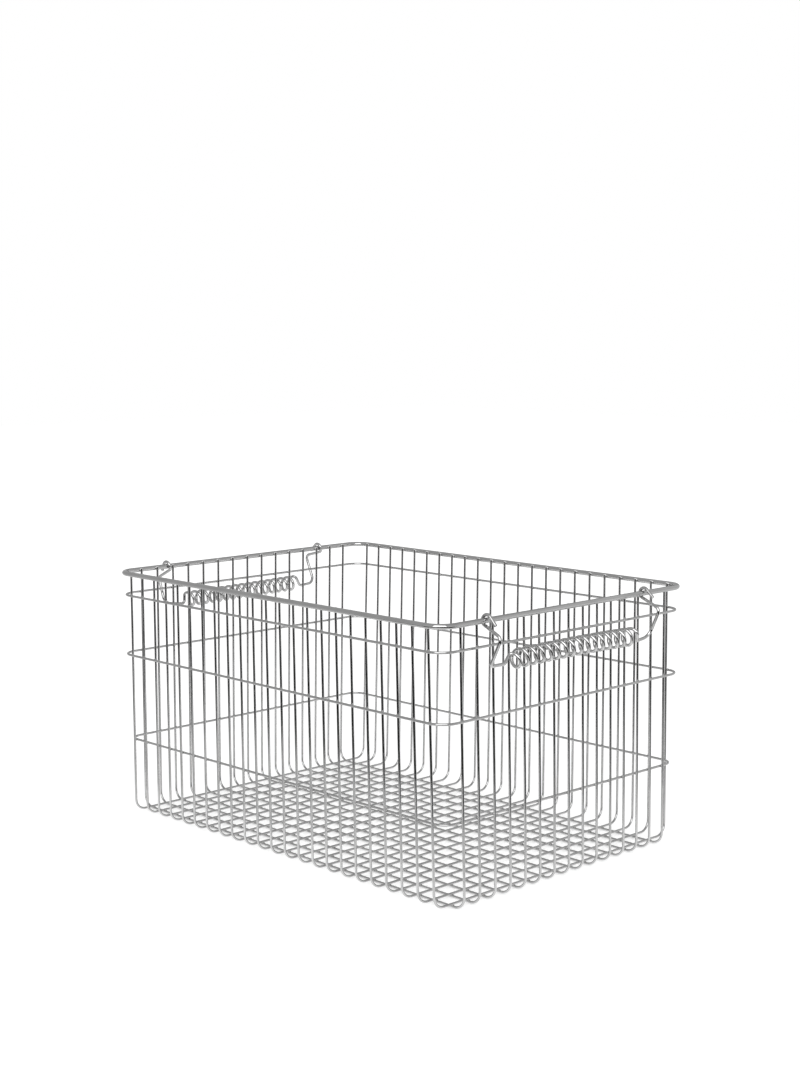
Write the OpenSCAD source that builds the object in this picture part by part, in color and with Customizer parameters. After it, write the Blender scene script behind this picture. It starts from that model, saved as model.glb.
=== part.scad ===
// Wire locker basket, welded from plated steel wire.
// A thick rim wire, three thin hoops and two crossing sets of U-shaped wires
// make the basket. Two bails with coiled grips swing on the rim's short sides.
// Units are millimetres. X runs along the length, Y across, Z up.
// The origin is the middle of the underside of the floor.

/* [Basket] */
// Length over the outside of the rim
basket_length = 454.8; // [420:0.2:520]
// Width over the outside of the rim
basket_width = 328.8; // [300:0.2:380]
// Height from the underside of the floor to the top of the rim
basket_height = 246; // [210:1:300]
// Length between the middles of the end legs, where they reach the floor
floor_length = 450; // [416:1:516]
// Width between the middles of the side legs, where they reach the floor
floor_width = 310.4; // [290:0.2:360]

/* [Wires] */
// Thickness of the rim wire
rim_wire = 4.8; // [4:0.2:5.4]
// Thickness of the hoops and of the U-shaped wires
thin_wire = 2.3; // [1.8:0.1:2.6]
// Depth that two crossing wires are set into each other by welding
weld_depth = 0.1; // [0.05:0.05:0.2]
// Extra thickness of the wire in a bend, where bending has swollen it
bend_swell = 0.02; // [0.02:0.01:0.1]
// Height of the leg tips above the middle of the rim wire
tip_rise = 1.4; // [0.4:0.2:2]
// Radius of the bends at the floor, at the middle of the wire
floor_bend = 11; // [6:1:16]

/* [Cross wires] */
// Number of wires that run across the basket
cross_count = 23; // [5:1:23]
// Distance from the first to the last cross wire at the rim
cross_row_top = 414; // [380:1:414]
// Distance from the first to the last cross wire at the floor
cross_row_floor = 422; // [380:1:424]

/* [Long wires] */
// Number of wires that run along the basket
long_count = 15; // [5:1:15]
// Distance from the first to the last long wire at the rim
long_row_top = 271.2; // [220:0.2:276]
// Distance from the first to the last long wire at the floor
long_row_floor = 267; // [220:0.2:276]

/* [Rim and hoops] */
// Corner radius of the rim, at the middle of the wire
rim_corner = 17; // [12:1:17]
// Corner radius of the upper and the middle hoop, at the middle of the wire
outer_hoop_corner = 16.5; // [10:0.5:16.5]
// Corner radius of the lower hoop, at the middle of the wire
lower_hoop_corner = 13; // [8:1:13]
// Depth of the upper hoop below the middle of the rim
upper_hoop_drop = 21.9; // [18:0.1:40]
// Depth of the middle hoop below the middle of the rim
middle_hoop_drop = 81.6; // [60:0.2:110]
// Depth of the lower hoop below the middle of the rim
lower_hoop_drop = 167.6; // [130:0.2:185]

/* [Handles] */
// Thickness of the handle wire
handle_wire = 3; // [2.4:0.1:3.2]
// Distance between the two legs of a handle
handle_span = 206.2; // [203.8:0.2:212.6]
// Free space between the rim and the eye that turns on it, all round
eye_clearance = 0.4; // [0.35:0.05:0.8]
// Distance that the handle's shoulders stand out from the rim
shoulder_out = 18.4; // [13:0.2:22]
// Depth of the shoulders below the rim
shoulder_drop = 13.1; // [11:0.1:16]
// Distance that the middle of the grip stands out from the rim
grip_out = 8.2; // [7.8:0.1:12]
// Depth of the middle of the grip below the rim
grip_drop = 35.5; // [34:0.1:46]
// Radius of the bends in the handle, at the middle of the wire
handle_bend = 5; // [3:0.5:6]
// Depth of the level feet of the handle below the middle of the grip
foot_drop = 3.2; // [2:0.1:5]
// Distance along the rim from the leg of an eye to its free end
eye_travel = 2.4; // [0:0.1:4]
// Length of the free wire end beside each eye
tail_length = 9.5; // [4:0.5:13]
// Slope of the free wire end, downwards from level
tail_slope = 45; // [20:1:50]
// Gap between an eye of the right handle and the leg that it has slid up to
eye_gap = 0.35; // [0.35:0.05:4]

/* [Grip coils] */
// Outer diameter of the grip coil
coil_diameter = 18.2; // [14:0.2:18.6]
// Length of the grip coil
coil_length = 151; // [110:1:160]
// Number of turns in the grip coil
coil_turns = 16; // [8:1:18]
// Length over which the wire leaves a foot for the top of the coil
coil_lead = 10; // [8:0.5:12]

/* [Hidden] */
$fn = 32;

// The rim's wire runs this far from the middle of the basket.
rim_half_x = (basket_length - rim_wire) / 2;
rim_half_y = (basket_width - rim_wire) / 2;
rim_z = basket_height - rim_wire / 2;

// Two welded wires lie this far apart, middle to middle.
thin_seat = thin_wire - weld_depth;
rim_seat = (rim_wire + thin_wire) / 2 - weld_depth;

// The long wires lie on the ground and carry the cross wires.
long_z = thin_wire / 2;
cross_z = long_z + thin_seat;

// The eyes turn round the rim.
eye_radius = (rim_wire + handle_wire) / 2 + eye_clearance;

// The grip coil is a tube of six sides, with the area of the round wire.
coil_radius = (coil_diameter - handle_wire) / 2;
coil_sides = 6;
coil_rings = 8;
lead_rings = 6;
tube_radius = handle_wire / 2 * sqrt(2 * PI / (coil_sides * sin(360 / coil_sides)));

// A straight run reaches this far into the bend at its end.
run_in = 0.05;

plated_wire = [0.74, 0.74, 0.75];
bright_wire = [0.82, 0.82, 0.83];

function numbered(name, i) = str(name, i < 10 ? "_0" : "_", i);
function mix(a, b, share) = a + (b - a) * share;
function unit(v) = v / norm(v);

// Half the distance between opposite legs at the height z.
function leg_half_x(z) = mix(floor_length / 2, rim_half_x - rim_seat, z / rim_z);
function leg_half_y(z) = mix(floor_width / 2, rim_half_y - rim_seat, z / rim_z);

// Place of the wire number i along its row, at the height z.
function along_row(i, count, floor_row, top_row, z) =
    mix(floor_row, top_row, z / rim_z) * ((i - 1) / (count - 1) - 0.5);

// A straight run of wire between two bends. It reaches a little into a bend,
// but not past its free end, where the length given for that end is 0.
module straight_wire(start, end, thickness, into_start = run_in, into_end = run_in) {
    run = end - start;
    translate(start - into_start * unit(run))
        rotate([0, acos(run.z / norm(run)), atan2(run.y, run.x)])
            cylinder(d = thickness, h = norm(run) + into_start + into_end);
}

// A bend about the Z axis, from the X axis on.
module wire_bend(radius, angle, thickness) {
    rotate_extrude(angle = angle)
        translate([radius, 0])
            circle(d = thickness + bend_swell);
}

// A bend in the XZ plane about the origin, from one angle to another.
module wire_arc(radius, from, to, thickness) {
    rotate([90, 0, 0])
        rotate([0, 0, from])
            wire_bend(radius, to - from, thickness);
}

// A closed rounded rectangle of wire, level, about the origin.
module wire_ring(half_x, half_y, corner, thickness) {
    for (side = [-1, 1]) {
        straight_wire([corner - half_x, side * half_y, 0], [half_x - corner, side * half_y, 0], thickness);
        straight_wire([side * half_x, corner - half_y, 0], [side * half_x, half_y - corner, 0], thickness);
    }
    for (quarter = [0:3]) {
        across = quarter == 0 || quarter == 3 ? 1 : -1;
        along = quarter < 2 ? 1 : -1;
        translate([across * (half_x - corner), along * (half_y - corner), 0])
            rotate([0, 0, 90 * quarter])
                wire_bend(corner, 90, thickness);
    }
}

// A U-shaped wire in the XZ plane. The floor run lies on the X axis, and the
// legs lean from foot_half at the floor to top_half at the height rise.
module u_wire(foot_half, top_half, rise, bend, thickness) {
    lean = atan((top_half - foot_half) / rise);
    cut = bend * tan((90 - lean) / 2);
    straight_wire([cut - foot_half, 0, 0], [foot_half - cut, 0, 0], thickness);
    for (side = [0, 1]) {
        mirror([side, 0, 0]) {
            translate([foot_half - cut, 0, bend])
                wire_arc(bend, -90, -lean, thickness);
            straight_wire(
                [foot_half + cut * sin(lean), 0, cut * cos(lean)], [top_half, 0, rise],
                thickness, into_end = 0);
        }
    }
}

// One U-shaped wire that stands in the basket, its floor run at the height z.
// It leans along its row from the place foot at the floor to top at the rim.
module standing_wire(foot, top, foot_half, top_half, z) {
    tip_z = rim_z + tip_rise;
    tilt = atan((top - foot) / rim_z);
    reach = mix(foot_half, top_half, tip_z / rim_z);
    translate([0, mix(foot, top, z / rim_z), z])
        rotate([-tilt, 0, 0])
            u_wire(
                mix(foot_half, top_half, z / rim_z), reach,
                (tip_z - z) / cos(tilt), floor_bend, thin_wire);
}

module long_wire(i) {
    foot = along_row(i, long_count, long_row_floor, long_row_top, 0);
    top = along_row(i, long_count, long_row_floor, long_row_top, rim_z);
    color(plated_wire)
        standing_wire(foot, top, leg_half_x(0), leg_half_x(rim_z), long_z);
}

module cross_wire(i) {
    foot = along_row(i, cross_count, cross_row_floor, cross_row_top, 0);
    top = along_row(i, cross_count, cross_row_floor, cross_row_top, rim_z);
    color(plated_wire)
        rotate([0, 0, -90])
            standing_wire(foot, top, leg_half_y(0), leg_half_y(rim_z), cross_z);
}

module rim() {
    color(bright_wire)
        translate([0, 0, rim_z])
            wire_ring(rim_half_x, rim_half_y, rim_corner, rim_wire);
}

// A hoop welded to the legs: side is 1 outside them and -1 inside them.
module hoop(drop, side, corner) {
    z = rim_z - drop;
    color(plated_wire)
        translate([0, 0, z])
            wire_ring(leg_half_x(z) + side * thin_seat, leg_half_y(z) + side * thin_seat, corner, thin_wire);
}

module upper_hoop() {
    hoop(upper_hoop_drop, 1, outer_hoop_corner);
}

module middle_hoop() {
    hoop(middle_hoop_drop, 1, outer_hoop_corner);
}

module lower_hoop() {
    hoop(lower_hoop_drop, -1, lower_hoop_corner);
}

// A run of wire from a free end through a list of points. The list of bends
// gives the radius at each inner point.
module bent_run(points, bends, thickness) {
    last = len(points) - 1;
    heading = [for (i = [0:last - 1]) unit(points[i + 1] - points[i])];
    turn = [for (i = [1:last - 1]) acos(heading[i - 1] * heading[i])];
    cut = [for (i = [0:last]) i == 0 || i == last ? 0 : bends[i - 1] * tan(turn[i - 1] / 2)];
    for (i = [0:last - 1])
        straight_wire(
            points[i] + cut[i] * heading[i], points[i + 1] - cut[i + 1] * heading[i], thickness,
            into_start = i == 0 ? 0 : run_in);
    for (i = [1:last - 1]) {
        bend = bends[i - 1];
        ahead = heading[i - 1];
        inward = unit(heading[i] - (heading[i] * ahead) * ahead);
        axis = cross(ahead, inward);
        centre = points[i] - cut[i] * ahead + bend * inward;
        multmatrix([
            [-inward.x, ahead.x, axis.x, centre.x],
            [-inward.y, ahead.y, axis.y, centre.y],
            [-inward.z, ahead.z, axis.z, centre.z],
            [0, 0, 0, 1]])
            wire_bend(bend, turn[i - 1], thickness);
    }
}

// The grip coil's middle line. It starts below the grip's middle, where a foot
// ends, makes half a turn out to the coil's radius, turns right-handed along Y,
// and comes back in half a turn.
function ease(share) = share * share * (3 - 2 * share);
function lead_radius(share) = mix(foot_drop, coil_radius, ease(share));
function coil_point(angle, radius, y) =
    [grip_out + radius * sin(angle), y, radius * cos(angle) - grip_drop];

coil_angles = concat(
    [-180, -180],
    [for (i = [1:lead_rings - 1]) -180 * (1 - i / lead_rings)],
    [for (i = [0:coil_turns * coil_rings]) 360 * i / coil_rings],
    [for (i = [1:lead_rings - 1]) 360 * coil_turns + 180 * i / lead_rings],
    [360 * coil_turns + 180, 360 * coil_turns + 180]);
coil_radii = concat(
    [foot_drop, foot_drop],
    [for (i = [1:lead_rings - 1]) lead_radius(i / lead_rings)],
    [for (i = [0:coil_turns * coil_rings]) coil_radius],
    [for (i = [1:lead_rings - 1]) lead_radius(1 - i / lead_rings)],
    [foot_drop, foot_drop]);
coil_start = coil_length / 2 + coil_lead;
coil_end = coil_start + handle_wire;
coil_places = concat(
    [-coil_end, -coil_start],
    [for (i = [1:lead_rings - 1]) -coil_start + coil_lead * i / lead_rings],
    [for (i = [0:coil_turns * coil_rings]) coil_length * (i / (coil_turns * coil_rings) - 0.5)],
    [for (i = [1:lead_rings - 1]) coil_length / 2 + coil_lead * i / lead_rings],
    [coil_start, coil_end]);
coil_line = [for (i = [0:len(coil_angles) - 1]) coil_point(coil_angles[i], coil_radii[i], coil_places[i])];

// The least gap between two turns of the coil, measured on its points.
coil_gaps = [for (i = [0:len(coil_line) - 1 - coil_rings / 2])
    for (j = [i + coil_rings / 2:len(coil_line) - 1]) norm(coil_line[j] - coil_line[i]) - handle_wire];
echo(str("least gap of the grip coil to itself: ", min(coil_gaps), " mm"));

module coil_tube() {
    count = len(coil_line);
    far = (count - 1) * coil_sides;
    corners = [for (i = [0:count - 1])
        let (
            ends = i < 2 || i > count - 3,
            ahead = ends ? [0, 1, 0] : unit(coil_line[i + 1] - coil_line[i - 1]),
            out = [sin(coil_angles[i]), 0, cos(coil_angles[i])],
            first = unit(out - (out * ahead) * ahead),
            second = cross(ahead, first))
            for (side = [0:coil_sides - 1])
                let (around = 360 * side / coil_sides)
                    coil_line[i] + tube_radius * (first * cos(around) + second * sin(around))];
    walls = [for (i = [0:count - 2]) for (side = [0:coil_sides - 1])
        let (
            next = (side + 1) % coil_sides,
            a = i * coil_sides + side,
            b = i * coil_sides + next,
            c = a + coil_sides,
            d = b + coil_sides)
            for (face = [[a, d, b], [a, c, d]]) face];
    lids = [for (side = [1:coil_sides - 2])
        for (face = [
            [0, side, side + 1],
            [far, far + side + 1, far + side]]) face];
    polyhedron(points = corners, faces = concat(walls, lids));
}

// A handle that hangs outside the rim. The rim's middle line is the Y axis and
// the basket lies on the -X side. Each eye leads from the free end over the
// rim and back below it in three bends, and on to the leg.
module handle() {
    shoulder = [shoulder_out, 0, -shoulder_drop];
    foot = [grip_out, 0, -grip_drop - foot_drop];
    tail_angle = 90 - tail_slope;
    tail_start = eye_radius * [cos(tail_angle), 0, sin(tail_angle)];
    tail_end = tail_start + tail_length * [cos(tail_slope), 0, -sin(tail_slope)];
    touch = 360 + atan2(shoulder.z, shoulder.x) - acos(eye_radius / norm(shoulder));
    half_bend = (touch - tail_angle) / 6;
    eye = [for (k = [0:2])
        let (angle = tail_angle + half_bend * (2 * k + 1))
            eye_radius / cos(half_bend) * [cos(angle), 0, sin(angle)] + [0, eye_travel * (1 - k / 2), 0]];
    for (side = [-1, 1]) {
        leg_place = [0, side * handle_span / 2, 0];
        bent_run([
            tail_end + [0, eye_travel, 0] + leg_place,
            eye[0] + leg_place,
            eye[1] + leg_place,
            eye[2] + leg_place,
            shoulder + leg_place,
            foot + leg_place,
            foot + [0, side * (coil_start + handle_wire / 2), 0]],
            [eye_radius, eye_radius, eye_radius, handle_bend, handle_bend], handle_wire);
    }
    coil_tube();
}

// The right handle has slid along the rim until its far eye is beside the
// third long wire from the end.
module handle_right() {
    stop = along_row(long_count - 2, long_count, long_row_floor, long_row_top, rim_z);
    right_slide = stop + (thin_wire + handle_wire) / 2 + eye_gap - handle_span / 2;
    color(bright_wire)
        translate([rim_half_x, right_slide, rim_z])
            handle();
}

module handle_left() {
    color(bright_wire)
        translate([-rim_half_x, 0, rim_z])
            rotate([0, 0, 180])
                handle();
}

rim();
upper_hoop();
middle_hoop();
lower_hoop();
handle_left();
handle_right();
for (i = [1:cross_count])
    cross_wire(i);
for (i = [1:long_count])
    long_wire(i);
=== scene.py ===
import math

import bpy
from mathutils import Matrix, Vector


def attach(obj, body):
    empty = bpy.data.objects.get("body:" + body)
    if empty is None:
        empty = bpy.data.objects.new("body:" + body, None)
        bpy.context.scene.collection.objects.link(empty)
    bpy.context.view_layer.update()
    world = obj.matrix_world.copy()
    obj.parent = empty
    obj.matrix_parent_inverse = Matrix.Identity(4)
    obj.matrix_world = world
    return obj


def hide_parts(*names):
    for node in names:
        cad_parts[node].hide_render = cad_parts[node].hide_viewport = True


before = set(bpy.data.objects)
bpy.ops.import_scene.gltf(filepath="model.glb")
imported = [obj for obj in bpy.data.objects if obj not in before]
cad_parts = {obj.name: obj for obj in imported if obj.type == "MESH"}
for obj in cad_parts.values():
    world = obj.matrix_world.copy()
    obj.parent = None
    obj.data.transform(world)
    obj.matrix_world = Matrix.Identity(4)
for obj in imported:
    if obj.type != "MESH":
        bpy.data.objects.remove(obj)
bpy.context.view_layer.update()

bpy.ops.object.select_all(action="DESELECT")


# Rim: one 4.8 mm round steel wire, bent to a rounded rectangle and butt-joined. The legs of
# the mesh are welded to its inner side and the handles hook over it. It is nickel plated
# together with the whole basket.
rim_half_x, rim_z = 0.225, 0.2436


def linear(sheet_colour):
    parts = [int(sheet_colour[i:i + 2], 16) / 255 for i in (1, 3, 5)]
    return [c / 12.92 if c <= 0.04045 else ((c + 0.055) / 1.055) ** 2.4 for c in parts] + [1]


def add_node(material, kind, settings=None, links=None):
    """Adds a node, sets its sockets or properties, and links outputs into its sockets."""
    node = material.node_tree.nodes.new("ShaderNode" + kind)
    for key, value in (settings or {}).items():
        if isinstance(key, int) or key in node.inputs:
            node.inputs[key].default_value = value
        else:
            setattr(node, key, value)
    for key, source in (links or {}).items():
        material.node_tree.links.new(source, node.inputs[key])
    return node


def nickel_plate(name, pale, deep, cloud_mm, line_mm, smooth, dull, dent_mm, metallic=1):
    """Electroplated nickel on drawn steel wire: a neutral grey mirror, a little softened.

    Its tone drifts slowly with the thickness of the plating. The lines of the drawing die
    show through it and roughen the gloss. Real ones lie some 0.02 mm apart, too fine to show,
    so they are drawn as coarse as line_mm says along X, Y and Z.
    """
    material = bpy.data.materials.new(name)
    material.use_nodes = True
    material.node_tree.nodes.clear()
    place = add_node(material, "TexCoord").outputs["Object"]
    clouds = add_node(
        material, "TexNoise", {"Scale": 1000 / cloud_mm, "Detail": 3, "Roughness": 0.6},
        {"Vector": place})
    tone = add_node(material, "ValToRGB", links={"Fac": clouds.outputs["Fac"]})
    deep_end, pale_end = tone.color_ramp.elements
    deep_end.position, deep_end.color = 0.38, linear(deep)
    pale_end.position, pale_end.color = 0.62, linear(pale)
    along = add_node(
        material, "Mapping", {"Scale": [1000 / size for size in line_mm]}, {"Vector": place})
    lines = add_node(
        material, "TexNoise", {"Scale": 1, "Detail": 3, "Roughness": 0.55},
        {"Vector": along.outputs["Vector"]})
    polish = add_node(
        material, "MapRange",
        {"From Min": 0.35, "From Max": 0.65, "To Min": smooth, "To Max": dull},
        {"Value": lines.outputs["Fac"]})
    dents = add_node(
        material, "Bump", {"Strength": 0.6, "Distance": dent_mm / 1000},
        {"Height": lines.outputs["Fac"]})
    metal = add_node(material, "BsdfPrincipled", {"Metallic": metallic}, {
        "Base Color": tone.outputs["Color"], "Roughness": polish.outputs["Result"],
        "Normal": dents.outputs["Normal"]})
    add_node(material, "OutputMaterial", links={"Surface": metal.outputs["BSDF"]})
    return material


def dress(node, material):
    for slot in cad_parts[node].material_slots:
        slot.material = material


# The thick wire takes the plating best: a smooth, even gloss with lines along the wire.
rim_nickel = nickel_plate(
    "nickel_plated_rim", pale="#c6c6c6", deep="#bcbcbc", cloud_mm=40, line_mm=(14, 14, 1.2),
    smooth=0.05, dull=0.11, dent_mm=0.004)
dress("rim", rim_nickel)


# Mesh wires: 2.3 mm round steel wires bent to a U, 15 along the basket at the bottom and 23
# across it on top of them, welded where they cross. Their legs lean a little and end at the
# rim's inner side.
thin_wire, weld_depth = 0.0023, 0.0001
long_count, long_row_floor, long_row_top = 15, 0.267, 0.2712
cross_count, cross_row_floor, cross_row_top = 23, 0.422, 0.414
leg_x_floor, leg_x_top = 0.225, 0.2215
leg_y_floor, leg_y_top = 0.1552, 0.1585
long_z, cross_z = 0.00115, 0.00335


def between(a, b, share):
    return a + (b - a) * share


def leg_half_x(z):
    return between(leg_x_floor, leg_x_top, z / rim_z)


def leg_half_y(z):
    return between(leg_y_floor, leg_y_top, z / rim_z)


def cross_x(i, z):
    return between(cross_row_floor, cross_row_top, z / rim_z) * (i / (cross_count - 1) - 0.5)


def long_y(i, z):
    return between(long_row_floor, long_row_top, z / rim_z) * (i / (long_count - 1) - 0.5)


# The thin wire's plating is a little softer, with lines that run up the legs.
mesh_nickel = nickel_plate(
    "nickel_plated_mesh", pale="#c4c4c4", deep="#b8b8b8", cloud_mm=30, line_mm=(0.8, 0.8, 9),
    smooth=0.08, dull=0.18, dent_mm=0.006)
for i in range(1, cross_count + 1):
    dress(f"cross_wire_{i:02d}", mesh_nickel)
for i in range(1, long_count + 1):
    dress(f"long_wire_{i:02d}", mesh_nickel)


# Floor welds: where a cross wire is pressed into a long wire, a little steel is squeezed out
# round the touching point and plated over. One bead is modelled and set at every crossing.
bead_width, bead_thickness, bead_lobes = 0.0028, 0.0014, 1.12


def weld_bead(name, across, along, thick, lobes):
    """A flat bead that bulges into the four corners between the two wires."""
    bpy.ops.mesh.primitive_uv_sphere_add(segments=8, ring_count=6, radius=0.5)
    bead = bpy.context.object
    bead.name = name
    bpy.ops.object.mode_set(mode="EDIT")
    bpy.ops.mesh.select_all(action="DESELECT")
    bpy.ops.object.mode_set(mode="OBJECT")
    for vertex in bead.data.vertices:
        if min(abs(vertex.co.x), abs(vertex.co.y)) > 0.1:
            vertex.select = True
    bpy.ops.object.mode_set(mode="EDIT")
    bpy.ops.transform.resize(value=(lobes, lobes, 0.8))
    bpy.ops.mesh.select_all(action="SELECT")
    bpy.ops.transform.resize(value=(across, along, thick))
    bpy.ops.object.mode_set(mode="OBJECT")
    bpy.ops.object.shade_smooth()
    bead.select_set(False)
    return bead


def copies(first, places):
    """One piece that holds a copy of the first shape's mesh at every place."""
    made = []
    for place in places:
        one = first.copy()
        one.data = first.data.copy()
        one.data.transform(place)
        bpy.context.collection.objects.link(one)
        made.append(one)
    name, old_mesh = first.name, first.data
    bpy.data.objects.remove(first)
    bpy.data.meshes.remove(old_mesh)
    bpy.ops.object.select_all(action="DESELECT")
    for one in made:
        one.select_set(True)
    bpy.context.view_layer.objects.active = made[0]
    bpy.ops.object.join()
    piece = bpy.context.object
    piece.name = name
    piece.select_set(False)
    return piece


def finish_piece(piece, material, body):
    piece.data.materials.clear()
    piece.data.materials.append(material)
    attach(piece, body)


# Resistance-welded steel under the plating: its grainy skin, half a millimetre coarse, stays
# duller and darker than the wires.
weld_nickel = nickel_plate(
    "nickel_plated_weld", pale="#b2b2b1", deep="#9b9b9a", cloud_mm=6, line_mm=(0.5, 0.5, 0.5),
    smooth=0.22, dull=0.4, dent_mm=0.02)
touch_z = (long_z + cross_z) / 2
floor_bead = weld_bead("floor_welds", bead_width, bead_width, bead_thickness, bead_lobes)
floor_welds = copies(floor_bead, [
    Matrix.Translation((cross_x(i, cross_z), long_y(j, long_z), touch_z))
    for i in range(cross_count) for j in range(long_count)])
finish_piece(floor_welds, weld_nickel, "basket")


# Hoops: three rings of the same 2.3 mm wire that hold the legs in line. The upper two lie
# outside the legs and the lower one inside them, and each is welded to all 76 legs.
upper_drop, middle_drop, lower_drop = 0.0219, 0.0816, 0.1676
outside, inside = 1, -1

# The same plating as the mesh, with lines that run round the ring.
hoop_nickel = nickel_plate(
    "nickel_plated_hoop", pale="#c4c4c4", deep="#b8b8b8", cloud_mm=35, line_mm=(9, 9, 0.8),
    smooth=0.07, dull=0.14, dent_mm=0.006)
for hoop in ("upper_hoop", "middle_hoop", "lower_hoop"):
    dress(hoop, hoop_nickel)


def leg_places(z, out):
    """Where every leg is at a height, moved outwards, with the turn of its side."""
    for i in range(cross_count):
        for side in (-1, 1):
            yield Vector((cross_x(i, z), side * (leg_half_y(z) + out), z)), 90
    for i in range(long_count):
        for side in (-1, 1):
            yield Vector((side * (leg_half_x(z) + out), long_y(i, z), z)), 0


def upright(place, turn):
    """Stands a flat bead up against its leg."""
    facing = Matrix.Rotation(math.radians(turn), 4, "Z")
    return Matrix.Translation(place) @ facing @ Matrix.Rotation(math.radians(90), 4, "Y")


hoop_seat = (thin_wire - weld_depth) / 2
hoop_places = []
for drop, side in ((upper_drop, outside), (middle_drop, outside), (lower_drop, inside)):
    legs = leg_places(rim_z - drop, side * hoop_seat)
    hoop_places += [upright(place, turn) for place, turn in legs]
hoop_bead = weld_bead("hoop_welds", bead_width, bead_width, bead_thickness, bead_lobes)
hoop_welds = copies(hoop_bead, hoop_places)
finish_piece(hoop_welds, weld_nickel, "basket")


# Rim welds and leg tips: each leg is welded to the rim's inner side and cropped just above
# it. The welds are plated as smooth as the rim, and the plating rounds the cut ends.
rim_bead_across, rim_bead_along, rim_bead_thickness, rim_bead_lobes = 0.0038, 0.0031, 0.0016, 1.1
tip_rise, tip_cover, tip_base = 0.0014, 0.00002, -0.0002
tip_shape = (1.06, 1.06, 0.3, 1)

rim_seat = thin_wire / 2 - weld_depth / 2
rim_bead = weld_bead(
    "rim_welds", rim_bead_across, rim_bead_along, rim_bead_thickness, rim_bead_lobes)
rim_welds = copies(rim_bead, [
    upright(place, turn) for place, turn in leg_places(rim_z, rim_seat)])
finish_piece(rim_welds, rim_nickel, "basket")

bpy.ops.mesh.primitive_uv_sphere_add(segments=12, ring_count=6, radius=thin_wire / 2 + tip_cover)
tip = bpy.context.object
tip.name = "leg_tips"
bpy.ops.object.mode_set(mode="EDIT")
bpy.ops.mesh.select_all(action="SELECT")
bpy.ops.mesh.bisect(
    plane_co=(0, 0, tip_base), plane_no=(0, 0, 1), use_fill=True, clear_inner=True)
bpy.ops.object.mode_set(mode="OBJECT")
tip.data.transform(Matrix.Diagonal(tip_shape))
bpy.ops.object.shade_smooth()
tip.select_set(False)
leg_tips = copies(tip, [
    Matrix.Translation(place) for place, turn in leg_places(rim_z + tip_rise, 0)])
# A cropped end is rough under thick plating and scatters the light. Its near-white, half-matt
# colour is a painted highlight that shows each tip as a white speck.
tip_nickel_painted_glint = nickel_plate(
    "cut_end_painted_glint", pale="#f6f6f6", deep="#ececec", cloud_mm=6,
    line_mm=(0.5, 0.5, 0.5), smooth=0.3, dull=0.45, dent_mm=0.01, metallic=0.3)
finish_piece(leg_tips, tip_nickel_painted_glint, "basket")


# Handles: each is one 3 mm spring wire. From a square-cut free end it hooks over the rim and
# back below it, runs out to a shoulder and down to the grip, and is wound there into 16 open
# turns. Both are bent by hand, so their legs differ a little.
handle_wire, hook_radius, hook_out = 0.003, 0.0046, 0.0005
grip_out, grip_drop, coil_turns = 0.0082, 0.0355, 16
coil_step, coil_opening, bend_step, hook_steps = 13, 160, 7, 30


def eased(share):
    return share * share * (3 - 2 * share)


def rounded_run(corners, radii):
    """A line through corners, each rounded with its own radius."""
    line = [Vector(corners[0])]
    for before, here, after, radius in zip(corners, corners[1:], corners[2:], radii):
        before, here, after = Vector(before), Vector(here), Vector(after)
        back, on = (before - here).normalized(), (after - here).normalized()
        half = back.angle(on) / 2
        centre = here + (back + on).normalized() * radius / math.sin(half)
        start, end = here + back * radius / math.tan(half), here + on * radius / math.tan(half)
        first, last = (start - centre).normalized(), (end - centre).normalized()
        steps = max(4, round(math.degrees(math.pi - 2 * half) / bend_step))
        for k in range(steps + 1):
            line.append(centre + first.slerp(last, k / steps) * radius)
    line.append(Vector(corners[-1]))
    return line


def hooked_leg(y_top, y_low, hook_rise, tail_length, tail_slope, corners, bends):
    """The wire from a free end, over the rim and back below it, and down the leg's corners.

    Corners are X out from the rim's middle line, Y along the rim and Z up from it.
    """
    slope = math.radians(tail_slope)
    first = math.pi / 2 - slope
    out, drop = corners[0][0] - hook_out, hook_rise - corners[0][2]
    last = 2 * math.pi - math.atan2(drop, out) - math.acos(hook_radius / math.hypot(out, drop))
    hook = []
    for k in range(hook_steps + 1):
        a = between(first, last, k / hook_steps)
        share = min(max(a / math.pi - 0.5, 0), 1)
        hook.append(Vector((
            hook_radius * math.cos(a) + hook_out, between(y_top, y_low, eased(share)),
            hook_radius * math.sin(a) + hook_rise)))
    away = Vector((math.cos(slope), 0, -math.sin(slope)))
    tail = [hook[0] + away * tail_length * share for share in (1, 0.75, 0.5, 0.25)]
    return tail + hook + rounded_run([hook[-1]] + corners, bends)[1:]


def coil_wire(start_y, end_y, start_turn, end_turn, radii, sag):
    """An open coil along Y. Its radius opens from the first to the full one and closes again."""
    first, full, final = radii
    whole = 360 * coil_turns
    steps = round((whole + end_turn - start_turn) / coil_step)
    line = []
    for k in range(steps + 1):
        turn = between(start_turn, whole + end_turn, k / steps)
        y = between(start_y, end_y, turn / whole)
        radius = between(first, full, eased(min(turn / coil_opening, 1)))
        if whole - turn < coil_opening:
            radius = between(final, full, eased(max((whole - turn) / coil_opening, 0)))
        a = math.radians(turn)
        z = radius * math.cos(a) - grip_drop + sag(y)
        line.append(Vector((grip_out + radius * math.sin(a), y, z)))
    return line


def run_on(here, before_here, length):
    """A point on from the coil's end, in the direction that the wire has there."""
    return here + (here - before_here).normalized() * length


def round_wire(name, line, thickness):
    bpy.ops.curve.primitive_nurbs_path_add()
    wire = bpy.context.object
    wire.name = name
    curve = wire.data
    curve.splines.clear()
    path = curve.splines.new("POLY")
    path.points.add(len(line) - 1)
    for point, place in zip(path.points, line):
        point.co = (*place, 1)
    curve.bevel_depth = thickness / 2
    curve.bevel_resolution = 6
    curve.use_fill_caps = True
    bpy.ops.object.convert(target="MESH")
    bpy.ops.object.shade_smooth_by_angle(angle=math.radians(50))
    wire = bpy.context.object
    wire.select_set(False)
    return wire


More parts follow.
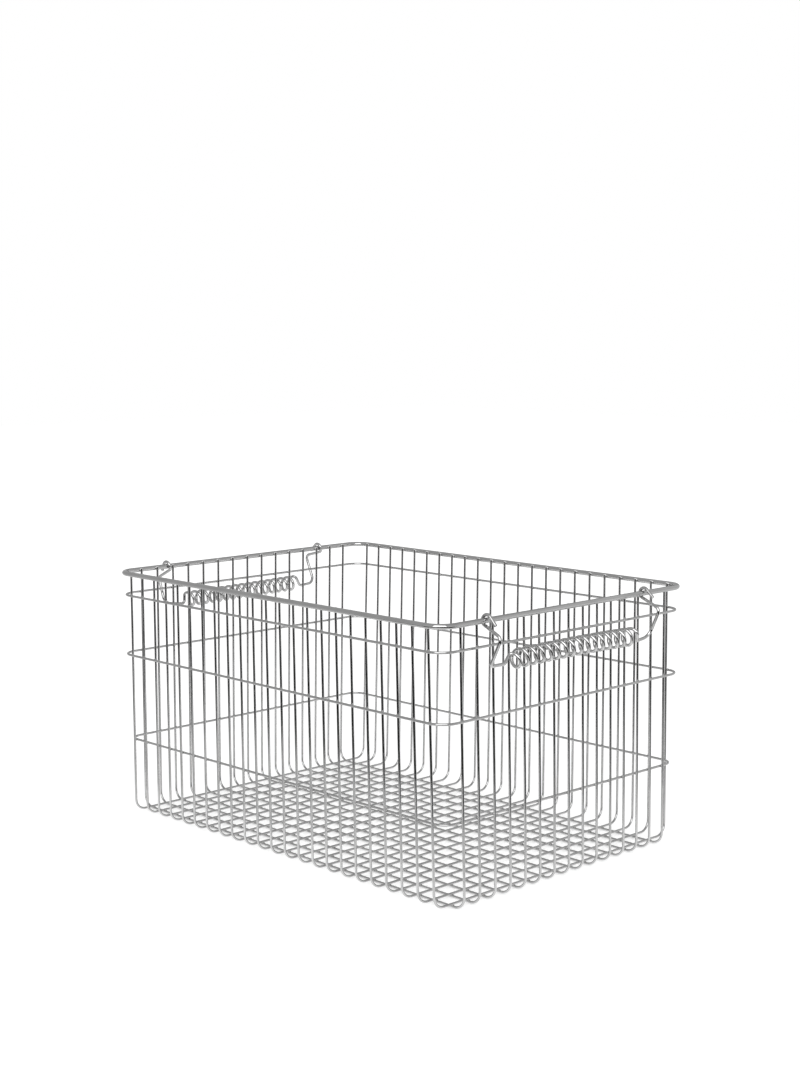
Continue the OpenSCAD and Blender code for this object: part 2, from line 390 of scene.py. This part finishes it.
# Bright nickel on hard-drawn spring wire: the smoothest and palest gloss of the basket.
handle_nickel = nickel_plate(
    "bright_nickel_handle", pale="#cdcdcd", deep="#c1c1c1", cloud_mm=20, line_mm=(2.5, 2.5, 2.5),
    smooth=0.05, dull=0.12, dent_mm=0.004)

coil = coil_wire(
    start_y=-0.085, end_y=0.0723, start_turn=12, end_turn=40, radii=(0.0049, 0.0074, 0.0073),
    sag=lambda y: 0.0013 - 0.0013 * ((y + 0.02) / 0.09) ** 2)
near_leg = hooked_leg(
    y_top=-0.1079, y_low=-0.1093, hook_rise=0.00025, tail_length=0.0095, tail_slope=47,
    corners=[
        (0.0184, -0.1096, -0.0128), (0.0072, -0.1108, -0.0377), (0.0082, -0.0947, -0.0375),
        run_on(coil[0], coil[1], 0.0032), coil[0]],
    bends=[0.0045, 0.003, 0.0045, 0.003])
far_leg = hooked_leg(
    y_top=0.1006, y_low=0.0998, hook_rise=0.00025, tail_length=0.0098, tail_slope=43,
    corners=[
        (0.0202, 0.0986, -0.0123), (0.0086, 0.0982, -0.0384), (0.0095, 0.0789, -0.0403),
        run_on(coil[-1], coil[-2], 0.003), coil[-1]],
    bends=[0.0045, 0.009, 0.003, 0.003])
right_side = Matrix.Translation((rim_half_x, 0, rim_z))
right_line = [right_side @ point for point in near_leg + coil[1:-1] + far_leg[::-1]]
right_bail = round_wire("right_bail", right_line, handle_wire)
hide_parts("handle_right")
finish_piece(right_bail, handle_nickel, "right_handle")

coil = coil_wire(
    start_y=-0.0738, end_y=0.0695, start_turn=15, end_turn=-25, radii=(0.0069, 0.0069, 0.0067),
    sag=lambda y: -0.0017 - 0.014 * y)
far_leg = hooked_leg(
    y_top=-0.1015, y_low=-0.1033, hook_rise=0, tail_length=0.0095, tail_slope=45,
    corners=[
        (0.022, -0.1033, -0.0102), (0.0086, -0.103, -0.0389), (0.0082, -0.0819, -0.0402),
        run_on(coil[0], coil[1], 0.004), coil[0]],
    bends=[0.0045, 0.0085, 0.0045, 0.0035])
near_leg = hooked_leg(
    y_top=0.1022, y_low=0.1, hook_rise=0, tail_length=0.007, tail_slope=68,
    corners=[
        (0.0172, 0.0996, -0.013), (0.0082, 0.0996, -0.039), (0.0107, 0.0728, -0.0430),
        (0.0107, 0.0723, -0.0300), coil[-1]],
    bends=[0.0045, 0.008, 0.0034, 0.0032])
left_side = Matrix.Translation((-rim_half_x, 0, rim_z)) @ Matrix.Rotation(math.pi, 4, "Z")
left_line = [left_side @ point for point in far_leg + coil[1:-1] + near_leg[::-1]]
left_bail = round_wire("left_bail", left_line, handle_wire)
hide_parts("handle_left")
finish_piece(left_bail, handle_nickel, "left_handle")


# Table: a matt white painted top that the basket stands on. It stays white behind the basket
# and keeps a faint shadow, and the wires mirror it a little darker than the camera sees it.
# Right under the basket the wires mirror it brighter: a painted glow that only reflections show,
# which lifts the shade on the floor wires' lower sides.
bpy.ops.mesh.primitive_plane_add(size=12, location=(0, 0, -0.0002))
table = bpy.context.object
table.name = "table"
table_top = bpy.data.materials.new("matt_white_paint")
table_top.use_nodes = True
table_top.node_tree.nodes.clear()
spot = add_node(table_top, "TexCoord")
away = add_node(
    table_top, "VectorMath", {"operation": "LENGTH"}, {0: spot.outputs["Object"]}).outputs["Value"]
ray = add_node(table_top, "LightPath").outputs
white_lift = add_node(
    table_top, "MapRange", {"From Min": 0.3, "From Max": 2.0, "To Min": 0.4, "To Max": 0.5},
    {"Value": away})
straight = add_node(
    table_top, "Math", {"operation": "MAXIMUM"},
    {0: ray["Is Camera Ray"], 1: ray["Is Transmission Ray"]})
lifted_rays = add_node(
    table_top, "Math", {"operation": "MULTIPLY_ADD", 1: 0.15},
    {0: ray["Is Glossy Ray"], 2: straight.outputs["Value"]})
# Painted light: within 0.29 to 0.36 m of the middle, mirrored rays see an extra glow that lightens
# the floor wires.
glow_under_basket_painted = add_node(
    table_top, "MapRange", {"From Min": 0.29, "From Max": 0.36, "To Min": 0.42, "To Max": 0},
    {"Value": away})
painted_reflection_glow = add_node(
    table_top, "Math", {"operation": "MULTIPLY"},
    {0: glow_under_basket_painted.outputs["Result"], 1: ray["Is Glossy Ray"]})
seen = add_node(table_top, "Math", {"operation": "MULTIPLY_ADD"}, {
    0: lifted_rays.outputs["Value"], 1: white_lift.outputs["Result"],
    2: painted_reflection_glow.outputs["Value"]})
glow = add_node(
    table_top, "Emission", {"Color": linear("#ffffff")}, {"Strength": seen.outputs["Value"]})
paint = add_node(table_top, "BsdfDiffuse", {"Color": linear("#f4f4f4")})
both = add_node(
    table_top, "AddShader", links={0: paint.outputs["BSDF"], 1: glow.outputs["Emission"]})
add_node(table_top, "OutputMaterial", links={"Surface": both.outputs["Shader"]})
table.data.materials.append(table_top)


# Room: plain painted walls and a ceiling round the table, a dark floor beyond its edge and
# one large soft box behind the camera. They are flat cards that only the wires' gloss shows.
# A grey card lying on the table at the front left is painted shade: it darkens the mirrored table.
table_edge, front_edge, wall_height = 0.46, -0.52, 2.4
floor_level, shade_card_level = 0.0006, 0.0004
lying, across_x, across_y = (0, 0, 0), (90, 0, 90), (90, 0, 0)


def mirrored_card(name, colour, width, height, place, turn, strength=1.0):
    bpy.ops.mesh.primitive_plane_add(
        size=1, location=place, rotation=[math.radians(a) for a in turn])
    card = bpy.context.object
    card.name = name
    card.scale = (width, height, 1)
    cloth = bpy.data.materials.new(name + "_cloth")
    cloth.use_nodes = True
    cloth.node_tree.nodes.clear()
    tint = add_node(cloth, "Emission", {"Color": linear(colour), "Strength": strength})
    add_node(cloth, "OutputMaterial", links={"Surface": tint.outputs["Emission"]})
    card.data.materials.append(cloth)
    for unseen_by in ("camera", "diffuse", "shadow", "transmission", "volume_scatter"):
        setattr(card, "visible_" + unseen_by, False)
    card.select_set(False)


mirrored_card("dark_floor", "#121212", 3.5, 4, (table_edge + 1.75, -1.8, floor_level), lying)
mirrored_card(
    "front_floor", "#161616", 0.86, 2, (table_edge - 0.43, front_edge - 1, floor_level), lying)
# Painted shade: a grey card on the table, seen only in the wires' gloss, darkens the table's
# reflection at the front left.
mirrored_card("front_shade_card", "#c8c8c8", 2.1, 2, (-0.95, -1.25, shade_card_level), lying)
mirrored_card("dark_skirt", "#141414", 2.2, 0.52, (1.81, -1.63, 0.26), (90, 0, 46))
mirrored_card(
    "soft_box", "#ffffff", 2.2, 2, (1.36, -1.3, 1.42), (90, 0, 29), strength=2.8)
half_up = wall_height / 2
mirrored_card("left_wall", "#b9b9b9", 6, wall_height, (-1.5, 0, half_up), across_x)
mirrored_card("back_left_wall", "#a6a6a6", 2.7, wall_height, (-1.65, 1.7, half_up), across_y)
mirrored_card("back_right_wall", "#d4d4d4", 3.3, 1.7, (1.35, 1.7, 0.85), across_y)
mirrored_card("front_wall", "#c6c6c6", 6, wall_height, (0, -2.3, half_up), across_y)
mirrored_card("right_wall", "#d0d0d0", 6, wall_height, (2.9, 0, half_up + 0.35), across_x)
mirrored_card("ceiling", "#bababa", 6.4, 6.4, (0, 0, wall_height), lying)

# The air is white to every straight and mirrored ray and lights the table at a plain level.
world = bpy.data.worlds.new("room")
bpy.context.scene.world = world
world.use_nodes = True
world.node_tree.nodes.clear()
world_rays = add_node(world, "LightPath").outputs
level = add_node(
    world, "MapRange", {"To Min": 1.0, "To Max": 0.8}, {"Value": world_rays["Is Diffuse Ray"]})
air = add_node(
    world, "Background", {"Color": linear("#ffffff")}, {"Strength": level.outputs["Result"]})
add_node(world, "OutputWorld", links={"Surface": air.outputs["Background"]})

bpy.ops.object.light_add(type="AREA", location=(1.25, -1.6, 0.8))
lamp = bpy.context.object
lamp.name = "soft_lamp"
lamp.data.shape = "RECTANGLE"
lamp.data.size, lamp.data.size_y = 1.3, 0.75
lamp.data.energy = 6
lamp_target = Vector((0.1, 0, 0.2))
lamp.rotation_euler = (lamp_target - lamp.location).to_track_quat("-Z", "Y").to_euler()

# Camera: its place, turn and lens were fitted to the photograph.
bpy.ops.object.camera_add(
    location=(1.20941, -1.15710, 0.49025),
    rotation=[math.radians(a) for a in (83.09565, 0.12605, 46.01424)])
camera = bpy.context.object
camera.data.sensor_fit = "HORIZONTAL"
camera.data.sensor_width = 36
camera.data.lens = 79.058
camera.data.clip_start, camera.data.clip_end = 0.05, 50
bpy.context.scene.camera = camera
bpy.context.scene.view_settings.view_transform = "Standard"
